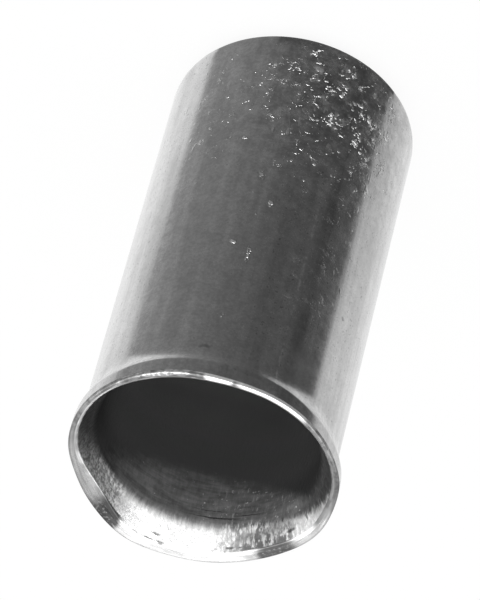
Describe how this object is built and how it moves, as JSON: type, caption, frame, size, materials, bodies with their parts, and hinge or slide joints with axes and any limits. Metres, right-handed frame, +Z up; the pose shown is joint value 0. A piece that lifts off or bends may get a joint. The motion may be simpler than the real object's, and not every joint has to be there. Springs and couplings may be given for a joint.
{
  "type": "cable housing ferrule",
  "caption": "Small plated metal cup that fits over the cut end of a cable housing, with a flared collar round its open mouth and a closed end pierced for the inner wire.",
  "frame": {"origin": "centre of the outer face of the closed end", "axes": "+Z up along the bore, from the closed end to the open mouth; X and Y are free, because the ferrule is round"},
  "size_m": [0.0064, 0.0064, 0.0119],
  "materials": {
    "plated_metal": "bright neutral plating on drawn brass, lightly scuffed from tumbling, with faint draw lines along the shell"
  },
  "bodies": {
    "root": {"ferrule_shell": "plated_metal"}
  },
  "joints": []
}
